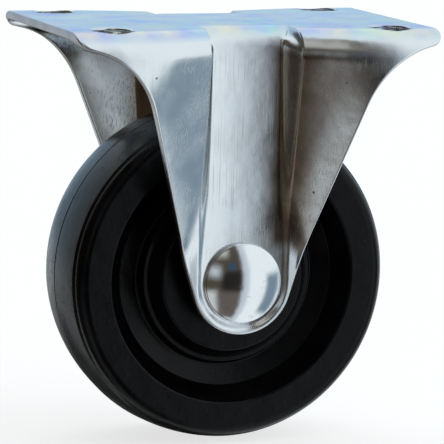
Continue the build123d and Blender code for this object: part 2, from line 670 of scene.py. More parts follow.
@dataclass(frozen=True)
class ZincPlate:
    """Bright zinc plating on pressed sheet steel: faintly iridescent, rippled, scratched and pitted, with a
    painted pale blue reflection on the plate and a painted dark reflection beside each band.
    """

    name: str = "bright_zinc_plate"
    tone: tuple = (0.77, 0.81, 0.84, 1)
    plate_tone_and_reflection: tuple = (0.58, 0.72, 0.80, 1)
    dark_tone: tuple = (0.16, 0.16, 0.16, 1)
    cut_tone: tuple = (0.52, 0.49, 0.49, 1)
    painted_reflection_tone: tuple = (0.27, 0.22, 0.175, 1)
    tints: tuple = (
        Tint((0.30, 0.74, 0.72, 1), 15 * MM, 3.0, 0.75),
        Tint((0.38, 0.36, 0.92, 1), 12 * MM, 8.0, 0.75),
        Tint((0.95, 0.86, 0.52, 1), 9 * MM, 21.0, 0.55),
    )
    tint_and_reflection_fade: tuple = (-3 * MM, -0.4 * MM)
    leg_top: tuple = (-4 * MM, -9 * MM)
    plate_share: float = 0.7
    drawn_share: float = 0.16
    cut_share: float = 0.85
    roughness: float = 0.17
    worn_roughness: float = 0.09
    drawn_roughness: float = 0.16
    cut_roughness: float = 0.25
    ripple_height: float = 0.06 * MM
    grain_height: float = 0.003 * MM
    drawn_depth: float = 0.003 * MM

    def material(self, effects: Effects) -> bpy.types.Material:
        """Builds the finish.

        Args:
            effects: the shared groups.

        Returns:
            The material. It reads the piece's attributes cut_edge and painted_reflection_wall, the last a
            painted dark reflection beside the band.
        """
        made = FinishTree(self.name)
        place = made.node("ShaderNodeSeparateXYZ", {0: made.position}).outputs["Z"]
        on_plate = made.eased(place, *self.tint_and_reflection_fade)
        on_leg = made.eased(place, *self.leg_top)
        # The plate's top takes a pale blue: partly the plating's own bluish tone, partly a painted reflection
        # of the pale blue-grey light behind
        colour = made.mixed(made.maths("MULTIPLY", on_plate, self.plate_share), self.tone, self.plate_tone_and_reflection)
        for tint in self.tints:
            patch = made.pattern(effects.patches, Size=tint.size, Seed=tint.seed)
            share = made.maths("MULTIPLY", made.maths("MULTIPLY", patch, on_plate), tint.strength)
            colour = made.mixed(share, colour, tint.colour)
        drawn = made.pattern(effects.streaks, Scale=(5200, 5200, 60), Level=0.56)
        rubbed_and_reflection_mask = made.pattern(effects.patches, Size=10 * MM, Seed=71.0)
        drawn = made.maths("MULTIPLY", drawn, made.maths("MULTIPLY", rubbed_and_reflection_mask, on_leg))
        pits = made.pattern(effects.specks, Spacing=2.6 * MM, Radius=0.16, Share=0.22)
        cut = made.node("ShaderNodeAttribute", attribute_name="cut_edge").outputs["Fac"]
        wall = made.node("ShaderNodeAttribute", attribute_name="painted_reflection_wall").outputs["Fac"]
        colour = made.mixed(made.maths("MULTIPLY", drawn, self.drawn_share), colour, self.dark_tone)
        # Painted dark reflection: a brown tone laid over the wall on one side of each band
        colour = made.mixed(wall, colour, self.painted_reflection_tone)
        colour = made.mixed(pits, colour, self.dark_tone)
        colour = made.mixed(made.maths("MULTIPLY", cut, self.cut_share), colour, self.cut_tone)
        worn = made.pattern(effects.patches, Size=7 * MM, Seed=40.0)
        roughness = made.maths("MULTIPLY_ADD", worn, self.worn_roughness, self.roughness)
        roughness = made.maths("MULTIPLY_ADD", drawn, self.drawn_roughness, roughness)
        roughness = made.maths("MULTIPLY_ADD", cut, self.cut_roughness, roughness)
        made.shader.inputs["Metallic"].default_value = 1
        ripple = made.pattern(effects.patches, Size=13 * MM, Seed=55.0)
        grain = made.pattern(effects.patches, Size=0.35 * MM, Seed=0.0)
        normal = made.relief(ripple, self.ripple_height)
        normal = made.relief(grain, self.grain_height, normal)
        normal = made.relief(drawn, -self.drawn_depth, normal)
        return made.finished(colour, roughness, normal)


@dataclass(frozen=True)
class TurnedSteel:
    """Bright steel with turning marks round the axle, polished on the rivet's dome."""

    name: str
    tone: tuple = (0.80, 0.83, 0.86, 1)
    dark_tone: tuple = (0.25, 0.25, 0.25, 1)
    mark_share: float = 0.2
    pit_share: float = 0.8
    roughness: float = 0.09
    smudge_roughness: float = 0.06
    mark_depth: float = 0.001 * MM
    smudge_height: float = 0.01 * MM

    def material(self, effects: Effects) -> bpy.types.Material:
        """Builds the finish.

        Args:
            effects: the shared groups.

        Returns:
            The material.
        """
        made = FinishTree(self.name)
        smudge = made.pattern(effects.patches, Size=3.5 * MM, Seed=12.0)
        lines = made.pattern(effects.streaks, Scale=(300, 1500, 900), Level=0.64)
        pits = made.pattern(effects.specks, Spacing=1.6 * MM, Radius=0.14, Share=0.2)
        colour = made.mixed(made.maths("MULTIPLY", lines, self.mark_share), self.tone, self.dark_tone)
        colour = made.mixed(made.maths("MULTIPLY", pits, self.pit_share), colour, self.dark_tone)
        roughness = made.maths("MULTIPLY_ADD", smudge, self.smudge_roughness, self.roughness)
        made.shader.inputs["Metallic"].default_value = 1
        normal = made.relief(smudge, self.smudge_height)
        normal = made.relief(lines, self.mark_depth, normal)
        return made.finished(colour, roughness, normal)


@dataclass(frozen=True)
class GlossMoulding:
    """A hard black moulding with a soft gloss, faint smudges and a little dust."""

    name: str = "gloss_moulding"
    tone: tuple = (0.0012, 0.0012, 0.0014, 1)
    smudge_tone: tuple = (0.004, 0.004, 0.0045, 1)
    dust_tone: tuple = (0.07, 0.07, 0.07, 1)
    dust_share: float = 0.8
    roughness: float = 0.2
    smudge_roughness: float = 0.12
    rubbed_roughness: float = 0.10
    gloss_level: float = 0.18
    ripple_height: float = 0.05 * MM
    grain_height: float = 0.006 * MM

    def material(self, effects: Effects) -> bpy.types.Material:
        """Builds the finish.

        Args:
            effects: the shared groups.

        Returns:
            The material.
        """
        made = FinishTree(self.name)
        smudge = made.pattern(effects.patches, Size=9 * MM, Seed=5.0)
        dust = made.pattern(effects.specks, Spacing=2.2 * MM, Radius=0.10, Share=0.22)
        rubbed_and_reflection_mask = made.pattern(effects.streaks, Scale=(900, 260, 900), Level=0.62)
        colour = made.mixed(smudge, self.tone, self.smudge_tone)
        colour = made.mixed(made.maths("MULTIPLY", dust, self.dust_share), colour, self.dust_tone)
        roughness = made.maths("MULTIPLY_ADD", smudge, self.smudge_roughness, self.roughness)
        roughness = made.maths("MULTIPLY_ADD", rubbed_and_reflection_mask, self.rubbed_roughness, roughness)
        made.shader.inputs["Specular IOR Level"].default_value = self.gloss_level
        ripple = made.pattern(effects.patches, Size=6 * MM, Seed=31.0)
        grain = made.pattern(effects.patches, Size=0.35 * MM, Seed=2.0)
        normal = made.relief(ripple, self.ripple_height)
        normal = made.relief(grain, self.grain_height, normal)
        return made.finished(colour, roughness, normal)


@dataclass
class Bracket:
    """The bracket: one sheet, pressed into a plate and two legs with flared flanks and sunken bands."""

    # Sheet, plate and holes
    sheet: float = 2.0 * MM
    plate_length: float = 88.6 * MM
    plate_corner: float = 3.3 * MM
    hole_spacing_x: float = 68.0 * MM
    hole_spacing_y: float = 46.0 * MM
    hole_radius: float = 5.1 * MM
    rim_roll: float = 0.5 * MM
    rim_points: int = 7
    axle_depth: float = 60.0 * MM
    bore_radius: float = 4.05 * MM

    # Legs, and the arcs that sweep from them to the plate's ends
    leg_face: float = 19.3 * MM
    leg_end: float = 12.2 * MM
    leg_taper: float = math.radians(17.5)
    swoop: float = 20.0 * MM
    swoop_drop: float = 3.4 * MM

    # Bends up to the plate, by their outer radius, and where they open out along X
    band_bend: float = 5.0 * MM
    flank_bend: float = 6.2 * MM
    end_bend: float = 7.0 * MM
    bend_opens: float = 14.0 * MM
    bend_open: float = 28.0 * MM

    # Flanks, which lean out and turn upright beside the plate, and the flat foot round the axle
    side_reach: float = 32.75 * MM
    side_turn: float = 40.0 * MM
    flank_rise: float = 0.174
    flank_spread: float = 0.3558
    flank_start: float = 7.7 * MM
    flank_middle: float = 11.9 * MM
    foot_proud: float = 1.1 * MM
    foot_blend: float = 16.0 * MM

    # Sunken band and the walls beside it, which change between two heights on the way to the foot
    band_dish: float = 80.0 * MM
    wall_start: float = 8.0 * MM
    wall_width: float = 3.3 * MM
    wall_shift: float = 0.75
    foot_wall_start: float = 9.6 * MM
    foot_wall_width: float = 1.9 * MM
    wall_top: float = -40.0 * MM
    wall_low: float = -52.0 * MM

    # Painted dark reflection beside the band, on one side of each leg, by its distance from the band's middle
    # line and by height
    painted_reflection_start: float = 5.2 * MM
    painted_reflection_rise: float = 3.5 * MM
    painted_reflection_end: float = 18.0 * MM
    painted_reflection_fade: float = 6.5 * MM
    painted_reflection_top: float = -3.0 * MM
    painted_reflection_low: float = -53.0 * MM

    # Rolled cut edge, and the flanks' free edges, which curl out between two heights
    edge_roll: float = 0.3 * MM
    curl_reach: float = 8.5 * MM
    curl_radius: float = 45.0 * MM
    curl_top: float = -5.0 * MM
    curl_full: float = -22.0 * MM
    curl_low: float = -48.0 * MM
    curl_end: float = -56.0 * MM

    # Grid of points: where its rays start, how its columns are spread and how many it has
    fan_y: float = 13.0 * MM
    fan_z: float = -8.0 * MM
    foot_z: float = -57.0 * MM
    ray_length: float = 60.0 * MM
    spine_x: float = 24.0 * MM
    spine_steps: int = 400
    foot_corner: float = math.radians(48)
    calm_half: float = 7.0 * MM
    wall_reach: float = 12.6 * MM
    wall_share: float = 0.8
    calm_columns: int = 8
    wall_columns: int = 40
    flank_columns: int = 30
    plate_rows: int = 7
    bend_rows: int = 50
    leg_rows: int = 50
    foot_rows: int = 34

    def pressed_side(self, points: np.ndarray, inset: float = 0.0) -> Boundary:
        """The pressed form's side, in the quarter where X and Y are positive.

        Args:
            points: the points, one a row.
            inset: how far the side is set in: nothing for the outer side, the sheet for the inner.

        Returns:
            Its boundary at the points.
        """
        flank_z = self.flank_start - self.axle_depth
        flank = plane_face(
            points, (self.flank_middle, self.leg_face, flank_z), (-self.flank_spread, 1, -self.flank_rise)
        ).set_in(inset)
        side_plane = plane_face(points, (0, self.side_reach, 0), (0, 1, 0)).set_in(inset)
        flank = rounded_corner(flank, side_plane, self.side_turn - inset)
        foot = plane_face(points, (0, self.leg_face + self.foot_proud, 0), (0, 1, 0)).set_in(inset)
        top = plane_face(points, (0, 0, 0), (0, 0, 1)).set_in(inset)
        side, share = self.sunk(points, rounded_hollow(flank, foot, self.foot_blend + inset), inset)
        opened = smooth((points[:, 0] - self.bend_opens) / (self.bend_open - self.bend_opens))
        bend = self.band_bend + share * (self.flank_bend - self.band_bend)
        return rounded_corner(side, top, bend + opened * (self.end_bend - self.flank_bend) - inset)

    def band(self, points: np.ndarray) -> Boundary:
        """The band's face, which is very slightly dished across.

        Args:
            points: the points, one a row.

        Returns:
            Its boundary at the points.
        """
        across = points[:, 0] / self.band_dish
        normal = np.column_stack((-across, np.ones(len(points)), np.zeros(len(points))))
        length = np.linalg.norm(normal, axis=1)
        away = points[:, 1] - self.leg_face - across * points[:, 0] / 2
        return Boundary(away / length, normal / length[:, None])

    def sunk(self, points: np.ndarray, flared: Boundary, inset: float) -> tuple:
        """The leg's side with the band sunk in it, whose soft walls go round the axle below it.

        Args:
            points: the points, one a row.
            flared: the side without its band.
            inset: how far the side is set in.

        Returns:
            The side's boundary, and how far each point is over on the flared side, from 0 to 1.
        """
        band = self.band(points).set_in(inset)
        drop = np.minimum(points[:, 2] + self.axle_depth, 0)
        radius = np.maximum(np.hypot(points[:, 0], drop), NEAR)
        low = np.interp(points[:, 2], (self.wall_low, self.wall_top), (1, 0))
        start = self.wall_start + low * (self.foot_wall_start - self.wall_start) + inset * self.wall_shift
        width = self.wall_width + low * (self.foot_wall_width - self.wall_width)
        run = np.clip((radius - start) / width, 0, 1)
        # The share leaves the band very softly, and its slope along the run is 12 * run**2 * (1 - run)
        share = run**3 * (4 - 3 * run)
        rise = 12 * run**2 * (1 - run) / width * (flared.distance - band.distance)
        outward = np.column_stack((points[:, 0] / radius, np.zeros(len(points)), drop / radius))
        normal = (1 - share)[:, None] * band.normal + share[:, None] * flared.normal + rise[:, None] * outward
        length = np.linalg.norm(normal, axis=1)
        distance = ((1 - share) * band.distance + share * flared.distance) / length
        # Inside the band's face a steep wall would seem nearer than the band, and cut a groove in the plate
        behind = (band.distance < 0) & (distance > band.distance)
        distance = np.where(behind, band.distance, distance)
        normal = np.where(behind[:, None], band.normal, normal / length[:, None])
        return Boundary(distance, normal), share

    def blank(self, points: np.ndarray) -> np.ndarray:
        """How far points lie outside the outline that trims the sheet, seen from the side.

        Args:
            points: the points, one a row, with X and Y positive.

        Returns:
            The distance out from the outline, negative inside it.
        """
        side = points[:, [0, 2]]
        axle = np.array((0, -self.axle_depth))
        slant = np.array((math.cos(self.leg_taper), -math.sin(self.leg_taper)))
        leg = Boundary((side - axle) @ slant - self.leg_end, np.broadcast_to(slant, side.shape))
        strip = plane_face(side, (0, -self.swoop_drop), (0, -1))
        from_axle = side - axle
        below = np.arctan2(from_axle[:, 0], -from_axle[:, 1]) < math.pi / 2 - self.leg_taper
        round_end = np.linalg.norm(from_axle, axis=-1) - self.leg_end
        swept = rounded_hollow(leg, strip, self.swoop)
        end = plane_face(side, (self.plate_length / 2, 0), (1, 0))
        return np.where(below, round_end, rounded_corner(swept, end, self.plate_corner).distance)

    def surface(self, x: np.ndarray, starts: np.ndarray, ways: np.ndarray, inset: float) -> np.ndarray:
        """Where rays from inside the form meet its outer side, or the same side set in.

        Args:
            x: each ray's X.
            starts: each ray's start in Y and Z.
            ways: each ray's direction in Y and Z.
            inset: how far the side is set in.

        Returns:
            The points, one a row.
        """
        origin = np.column_stack((x, starts))
        way = np.column_stack((np.zeros(len(x)), ways))
        low, high = np.zeros(len(x)), np.full(len(x), self.ray_length)
        for _ in range(HALVINGS):
            middle = (low + high) / 2
            inside = self.pressed_side(origin + middle[:, None] * way, inset).distance < 0
            low, high = np.where(inside, middle, low), np.where(inside, high, middle)
        return origin + low[:, None] * way

    def half_widths(self, starts: np.ndarray, ways: np.ndarray) -> np.ndarray:
        """How far each row of the sheet reaches along X before its rolled edge.

        Args:
            starts: each row's ray start in Y and Z.
            ways: each row's ray direction in Y and Z.

        Returns:
            The half width of each row.
        """
        low, high = np.zeros(len(starts)), np.full(len(starts), self.plate_length / 2)
        for _ in range(HALVINGS):
            middle = (low + high) / 2
            inside = self.blank(self.surface(middle, starts, ways, 0)) < -self.edge_roll
            low, high = np.where(inside, middle, low), np.where(inside, high, middle)
        return low

    def columns(self, half_width: np.ndarray) -> np.ndarray:
        """Where the columns of points cross each row, closest together over the wall beside the band.

        Args:
            half_width: each row's half width.

        Returns:
            The columns' X, one row of the array for each row of the sheet.
        """
        calm = np.linspace(0, self.calm_half, self.calm_columns, endpoint=False)
        wall = np.linspace(0, 1, self.wall_columns, endpoint=False)
        flank = np.linspace(0, 1, self.flank_columns)
        half_width = half_width[:, None]
        reach = np.minimum(self.wall_reach, self.calm_half + self.wall_share * (half_width - self.calm_half))
        over_wall = self.calm_half + wall * (reach - self.calm_half)
        over_flank = reach + flank * (half_width - reach)
        return np.hstack((np.broadcast_to(calm, (len(half_width), len(calm))), over_wall, over_flank))

    def rays(self) -> tuple:
        """The rows' rays: up under the plate, fanned out over the bend, and outwards along the leg.

        Returns:
            The starts and the directions in Y and Z, one a row, from the plate's middle to the foot.
        """
        plate = np.linspace(0, self.fan_y, self.plate_rows, endpoint=False)
        fine = np.linspace(0, math.pi / 2, self.spine_steps)
        fan_ways = np.column_stack((np.sin(fine), np.cos(fine)))
        fan_starts = np.broadcast_to((self.fan_y, self.fan_z), fan_ways.shape)
        spine = self.surface(np.full(len(fine), self.spine_x), fan_starts, fan_ways, 0)
        run = np.concatenate(([0], np.cumsum(np.linalg.norm(np.diff(spine, axis=0), axis=1))))
        angles = np.interp(np.linspace(0, run[-1], self.bend_rows, endpoint=False), run, fine)
        leg = np.linspace(self.fan_z, self.foot_z, self.leg_rows)
        starts = np.vstack(
            (
                np.column_stack((plate, np.full(len(plate), self.fan_z))),
                np.broadcast_to((self.fan_y, self.fan_z), (len(angles), 2)),
                np.column_stack((np.full(len(leg), self.fan_y), leg)),
            )
        )
        ways = np.vstack(
            (
                np.broadcast_to((0, 1), (len(plate), 2)),
                np.column_stack((np.sin(angles), np.cos(angles))),
                np.broadcast_to((1, 0), (len(leg), 2)),
            )
        )
        return starts, ways

    def foot(self, top_x: np.ndarray) -> tuple:
        """The rows of the leg's round end, which blend from a level row to its arc.

        Args:
            top_x: the columns' X on the last level row.

        Returns:
            The rows' X and Z, without the level row.
        """
        radius = self.leg_end - self.edge_roll
        down = np.linspace(0, 1, self.foot_rows + 1)[1:, None]
        across = (top_x / top_x[-1])[None, :]
        corner_z = -self.axle_depth - radius * math.cos(self.foot_corner)
        side_z = self.foot_z + down * (corner_z - self.foot_z)
        taper_x = (radius + (side_z + self.axle_depth) * math.sin(self.leg_taper)) / math.cos(self.leg_taper)
        drop = np.minimum(side_z + self.axle_depth, 0)
        round_x = np.sqrt(np.maximum(radius**2 - drop**2, 0))
        tangent_z = -self.axle_depth - radius * math.sin(self.leg_taper)
        side_x = np.where(side_z > tangent_z, taper_x, round_x)
        arc = across * self.foot_corner
        arc_x, arc_z = radius * np.sin(arc), -self.axle_depth - radius * np.cos(arc)
        middle_z = self.foot_z + down * (-self.axle_depth - radius - self.foot_z)
        last_x, last_z = arc_x[:, -1:], arc_z[:, -1:]
        x = (1 - down) * top_x + down * arc_x + across * side_x
        x -= across * ((1 - down) * top_x[-1] + down * last_x)
        z = (1 - down) * self.foot_z + down * arc_z + (1 - across) * middle_z + across * side_z
        z -= (1 - across) * ((1 - down) * self.foot_z + down * arc_z[:, :1])
        z -= across * ((1 - down) * self.foot_z + down * last_z)
        return x, z

    def quarter(self) -> tuple:
        """The outer and the inner side of the sheet over the quarter where X and Y are positive.

        Returns:
            Two arrays of points, rows from the plate's middle to the foot by columns outwards.
        """
        starts, ways = self.rays()
        x = self.columns(self.half_widths(starts, ways))
        starts = np.repeat(starts[:, None], x.shape[1], axis=1)
        ways = np.repeat(ways[:, None], x.shape[1], axis=1)
        foot_x, foot_z = self.foot(x[-1])
        foot_starts = np.stack((np.full_like(foot_z, self.fan_y), foot_z), axis=-1)
        foot_ways = np.broadcast_to((1.0, 0.0), foot_starts.shape)
        x = np.vstack((x, foot_x))
        starts = np.vstack((starts, foot_starts)).reshape(-1, 2)
        ways = np.vstack((ways, foot_ways)).reshape(-1, 2)
        shape = (*x.shape, 3)
        outer = self.surface(x.ravel(), starts, ways, 0).reshape(shape)
        inner = self.surface(x.ravel(), starts, ways, self.sheet).reshape(shape)
        lift = self.curl(outer.reshape(-1, 3)).reshape(shape)
        return outer + lift, inner + lift

    def curl(self, points: np.ndarray) -> np.ndarray:
        """How far the flanks curl out along their free edges, from the pressing.

        Args:
            points: points of the outer side, one a row.

        Returns:
            Each point's shift.
        """
        depth = np.maximum(self.curl_reach + self.blank(points), 0)
        levels = (self.curl_end, self.curl_low, self.curl_full, self.curl_top)
        fade = smooth(np.interp(points[:, 2], levels, (0, 1, 1, 0)))
        return (depth**2 / (2 * self.curl_radius) * fade)[:, None] * self.pressed_side(points).normal

    def rolled_edge(self, outer: np.ndarray, inner: np.ndarray) -> list:
        """The rings of points round the sheet's cut edge, slightly rolled over at both sides.

        Args:
            outer: the outer side's border, in order.
            inner: the inner side's border, in order.

        Returns:
            The rings between the two borders, each as an array like them.
        """
        along = np.roll(outer, -1, axis=0) - np.roll(outer, 1, axis=0)
        along /= np.linalg.norm(along, axis=1)[:, None]
        through = outer - inner
        through /= np.linalg.norm(through, axis=1)[:, None]
        out = np.cross(along, through)
        out /= np.linalg.norm(out, axis=1)[:, None]
        turns = np.radians((30, 60, 90))
        first = [outer + self.edge_roll * (math.sin(a) * out - (1 - math.cos(a)) * through) for a in turns]
        last = [inner + self.edge_roll * (math.sin(a) * out + (1 - math.cos(a)) * through) for a in turns]
        return first + last[::-1]

    def sheet_mesh(self) -> bpy.types.Mesh:
        """Builds the whole sheet, before its holes.

        Returns:
            The closed mesh.
        """
        sides = []
        for side in self.quarter():
            half = np.concatenate((side[:, :0:-1] * (-1, 1, 1), side), axis=1)
            sides.append(np.concatenate((half[:0:-1] * (1, -1, 1), half), axis=0))
        rows, columns = sides[0].shape[:2]
        index = np.arange(rows * columns).reshape(rows, columns)
        border = np.concatenate((index[0, :-1], index[:-1, -1], index[-1, :0:-1], index[:0:-1, 0]))
        points = [side.reshape(-1, 3) for side in sides]
        rings = self.rolled_edge(points[0][border], points[1][border])
        vertices = np.concatenate((*points, *rings))
        corners = (index[:-1, :-1], index[:-1, 1:], index[1:, 1:], index[1:, :-1])
        cells = np.stack(corners, axis=-1).reshape(-1, 4)
        first_ring = 2 * rows * columns
        loops = [border]
        loops += [first_ring + i * len(border) + np.arange(len(border)) for i in range(len(rings))]
        loops.append(border + rows * columns)
        edge = [np.stack((a, np.roll(a, -1), np.roll(b, -1), b), axis=-1) for a, b in zip(loops, loops[1:])]
        faces = np.concatenate((cells[:, ::-1], cells + rows * columns, *edge))
        mesh = bpy.data.meshes.new("bracket_sheet")
        mesh.from_pydata(vertices.tolist(), [], faces.tolist())
        shape = bmesh.new()
        shape.from_mesh(mesh)
        write_outwards(shape, mesh)
        return mesh

    def punch(self) -> bpy.types.Object:
        """The punch for one bolt hole, which rolls the hole's rim at the plate's top.

        Returns:
            The punch, standing on the origin, left out of the finished scene by its maker.
        """
        over = 0.03 * MM
        rolled = [
            (self.hole_radius + self.rim_roll * (1 - math.sin(a)), over - self.rim_roll * (1 - math.cos(a)))
            for a in np.radians(np.linspace(0, 90, self.rim_points))
        ]
        outline = [(0, self.sheet), (rolled[0][0], self.sheet), *rolled]
        outline += [(self.hole_radius, -self.leg_face), (0, -self.leg_face)]
        shape = bmesh.new()
        corners = [shape.verts.new((r, 0, z)) for r, z in outline]
        edges = [shape.edges.new(pair) for pair in zip(corners, corners[1:])]
        bmesh.ops.spin(
            shape,
            geom=corners + edges,
            cent=(0, 0, 0),
            axis=(0, 0, 1),
            angle=2 * math.pi,
            steps=HOLE_SEGMENTS,
            use_merge=True,
        )
        bmesh.ops.remove_doubles(shape, verts=shape.verts, dist=JOINED)
        mesh = bpy.data.meshes.new("bolt_hole_punch")
        write_outwards(shape, mesh)
        return linked("bolt_hole_punch", mesh)

    def mark_for_finish(self, mesh: bpy.types.Mesh) -> None:
        """Writes how far each point is cut edge and how far it takes a painted dark reflection, for the
        finish to read.

        The painted dark reflection lies to the right of the band, seen from outside each leg.

        Args:
            mesh: the finished mesh.
        """
        points = np.empty(3 * len(mesh.vertices))
        mesh.vertices.foreach_get("co", points)
        points = points.reshape(-1, 3)
        # Only one side of each band takes the painted dark reflection
        rubbed_and_reflection_mask = points[:, 0] * points[:, 1] < 0
        points = np.abs(points) * (1, 1, -1)
        cut = np.clip(self.blank(points) / self.edge_roll + 1, 0, 1)
        mesh.attributes.new("cut_edge", "FLOAT", "POINT").data.foreach_set("value", cut)
        drop = np.minimum(points[:, 2] + self.axle_depth, 0)
        radius = np.hypot(points[:, 0], drop)
        # Painted dark reflection along the wall beside the band, faded out at its top and foot
        wall = smooth((radius - self.painted_reflection_start) / self.painted_reflection_rise)
        wall *= smooth((self.painted_reflection_end - radius) / self.painted_reflection_fade) * rubbed_and_reflection_mask
        wall *= smooth((self.painted_reflection_top - points[:, 2]) / self.painted_reflection_rise)
        wall *= smooth((points[:, 2] - self.painted_reflection_low) / self.painted_reflection_rise)
        mesh.attributes.new("painted_reflection_wall", "FLOAT", "POINT").data.foreach_set("value", wall)

    def build(self, finish: bpy.types.Material) -> bpy.types.Object:
        """Builds and dresses the bracket.

        Args:
            finish: its material.

        Returns:
            The finished piece, riding on its body.
        """
        piece = linked("pressed_bracket", self.sheet_mesh())
        punch = self.punch()
        piece = punching_tree().put_on(
            piece,
            Spacing_X=self.hole_spacing_x,
            Spacing_Y=self.hole_spacing_y,
            Punch=punch,
            Bore_Radius=self.bore_radius,
            Axle_Depth=self.axle_depth,
            Bore_Length=4 * self.leg_face,
            Finish=finish,
        )
        bpy.data.objects.remove(punch)
        self.mark_for_finish(piece.data)
        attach(piece, Body.BRACKET.value)
        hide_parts("bracket")
        return piece


@dataclass
class Wheel:
    """The wheel: one moulding with a crowned tread, flat rim faces, a deep web and a stepped hub."""

    axle_depth: float = 60.0 * MM
    radius: float = 40.0 * MM
    crown: float = 2.1 * MM
    shoulder: float = 2.6 * MM
    face_plane: float = 13.8 * MM
    face_inner: float = 30.0 * MM
    web_outer: float = 26.6 * MM
    web_outer_plane: float = 8.4 * MM
    web_inner: float = 21.6 * MM
    web_inner_plane: float = 6.8 * MM
    step: float = 19.8 * MM
    step_plane: float = 9.2 * MM
    step_width: float = 1.0 * MM
    hub: float = 17.4 * MM
    hub_plane: float = 13.2 * MM
    boss: float = 9.4 * MM
    boss_plane: float = 16.9 * MM
    bore: float = 6.06 * MM
    moulded_round: float = 0.6 * MM
    small_round: float = 0.25 * MM
    parting_height: float = 0.12 * MM
    parting_half: float = 0.35 * MM
    parting_drop_share: float = 0.15
    parting_half_share: float = 0.45
    round_steps: int = 7
    round_support: float = 0.12 * MM
    crown_points: int = 26
    segments: int = 288

    def side_profile(self) -> list:
        """Half of the wheel's section, from the bore's middle out over the hub and web to the tread's middle.

        Returns:
            The points, as pairs of radius and place along the axle.
        """
        tread_edge = self.radius - self.crown
        tread_top = self.radius - self.parting_height
        corners = [
            (self.bore, 0, 0),
            (self.bore, self.boss_plane, self.small_round),
            (self.boss, self.boss_plane, self.small_round),
            (self.boss, self.hub_plane, self.small_round),
            (self.hub, self.hub_plane, self.moulded_round),
            (self.step, self.step_plane, self.small_round),
            (self.step + self.step_width, self.step_plane, self.small_round),
            (self.web_inner, self.web_inner_plane, self.moulded_round),
            (self.web_outer, self.web_outer_plane, self.moulded_round),
            (self.face_inner, self.face_plane, self.moulded_round),
            (tread_edge, self.face_plane, self.shoulder),
        ]
        crown_drop = tread_top - tread_edge
        crown_radius = (self.face_plane**2 + crown_drop**2) / (2 * crown_drop)
        tangent = self.face_plane - self.shoulder
        first = tread_top - crown_radius + math.sqrt(crown_radius**2 - tangent**2)
        corners.append((first, tangent - self.shoulder, 0))
        places = [corner[:2] for corner in corners]
        radii = [corner[2] for corner in corners]
        path = rounded_path(places, radii, self.round_steps, self.round_support)[:-1]
        for place in np.linspace(path[-1][1], self.parting_half, self.crown_points)[1:]:
            path.append((tread_top - crown_radius + math.sqrt(crown_radius**2 - place**2), place))
        ridge_side = self.radius - self.parting_height * self.parting_drop_share
        path.append((ridge_side, self.parting_half * self.parting_half_share))
        path.append((self.radius, 0))
        return path

    def build(self, tree: GeometryTree, finish: bpy.types.Material) -> bpy.types.Object:
        """Builds and dresses the wheel.

        Args:
            tree: the tree that turns a profile.
            finish: the wheel's material.

        Returns:
            The finished piece, riding on its body.
        """
        half = self.side_profile()
        path = [(r, -y) for r, y in half[::-1]] + half[1:]
        piece = profile_piece("moulded_wheel", path)
        piece = tree.put_on(piece, Segments=self.segments, Axle_Depth=self.axle_depth, Finish=finish)
        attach(piece, Body.WHEEL.value)
        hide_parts("wheel")
        return piece


@dataclass
class Axle:
    """The axle: a rivet with a domed head and a closed tail, and the tube that it clamps between the legs."""

    axle_depth: float = 60.0 * MM
    leg_face: float = 19.3 * MM
    leg_inner: float = 17.3 * MM
    shank: float = 4.0 * MM
    head: float = 9.5 * MM
    head_rim: float = 1.3 * MM
    head_rise: float = 2.4 * MM
    tail: float = 6.2 * MM
    tail_rise: float = 2.6 * MM
    tube: float = 6.0 * MM
    tube_bore: float = 4.05 * MM
    rim_round: float = 0.45 * MM
    dome_points: int = 24
    rim_points: int = 5
    segments: int = 160

    def dome(self, rim: float, rise: float) -> list:
        """A dome's arc from its rim to its top.

        Args:
            rim: the rim's radius.
            rise: how far the dome rises over it.

        Returns:
            Pairs of radius and height over the rim, with the top last.
        """
        round_radius = (rim**2 + rise**2) / (2 * rise)
        radii = rim * np.cos(np.linspace(0, math.pi / 2, self.dome_points))
        return [(r, rise - round_radius + math.sqrt(round_radius**2 - r**2)) for r in radii]

    def rivet_profile(self) -> list:
        """The rivet's half section, from the top of its head to the top of its tail.

        Returns:
            The points, as pairs of radius and place along the axle.
        """
        rim_face = -self.leg_face - self.head_rim
        head_dome = [(r, rim_face - h) for r, h in self.dome(self.head - self.rim_round, self.head_rise)]
        rim = [
            (self.head - self.rim_round * (1 - math.sin(a)), rim_face + self.rim_round * (1 - math.cos(a)))
            for a in np.radians(np.linspace(15, 90, self.rim_points))
        ]
        tail_dome = [(r, self.leg_face + h) for r, h in self.dome(self.tail, self.tail_rise)]
        corners = [(self.head, -self.leg_face), (self.shank, -self.leg_face), (self.shank, self.leg_face)]
        path = head_dome[::-1] + rim + corners + tail_dome
        return [(max(r, 0), y) for r, y in path]

    def build(
        self, tree: GeometryTree, rivet_finish: bpy.types.Material, tube_finish: bpy.types.Material
    ) -> list:
        """Builds and dresses the rivet and the tube.

        Args:
            tree: the tree that turns a profile.
            rivet_finish: the rivet's material.
            tube_finish: the tube's material.

        Returns:
            The finished pieces, riding on the bracket's body.
        """
        rivet = profile_piece("domed_rivet", self.rivet_profile())
        rivet = tree.put_on(rivet, Segments=self.segments, Axle_Depth=self.axle_depth, Finish=rivet_finish)
        ring = [
            (self.tube_bore, -self.leg_inner),
            (self.tube, -self.leg_inner),
            (self.tube, self.leg_inner),
            (self.tube_bore, self.leg_inner),
            (self.tube_bore, -self.leg_inner),
        ]
        tube = profile_piece("spacer_tube", ring)
        tube = tree.put_on(tube, Segments=self.segments, Axle_Depth=self.axle_depth, Finish=tube_finish)
        dressed = ((rivet, "axle_rivet", "rivet_steel"), (tube, "axle_tube", "tube_steel"))
        for piece, node, finish_slot in dressed:
            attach(piece, Body.BRACKET.value)
            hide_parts(node)
        return [rivet, tube]


@dataclass(frozen=True)
class LightPanel:
    """A soft-edged patch of the surroundings that the metal mirrors.

    Angles are in degrees. Azimuth turns from the castor's front, -Y, towards +X.
    """

    azimuth: float
    elevation: float
    half_width: float
    half_height: float
    softness: float
    colour: tuple


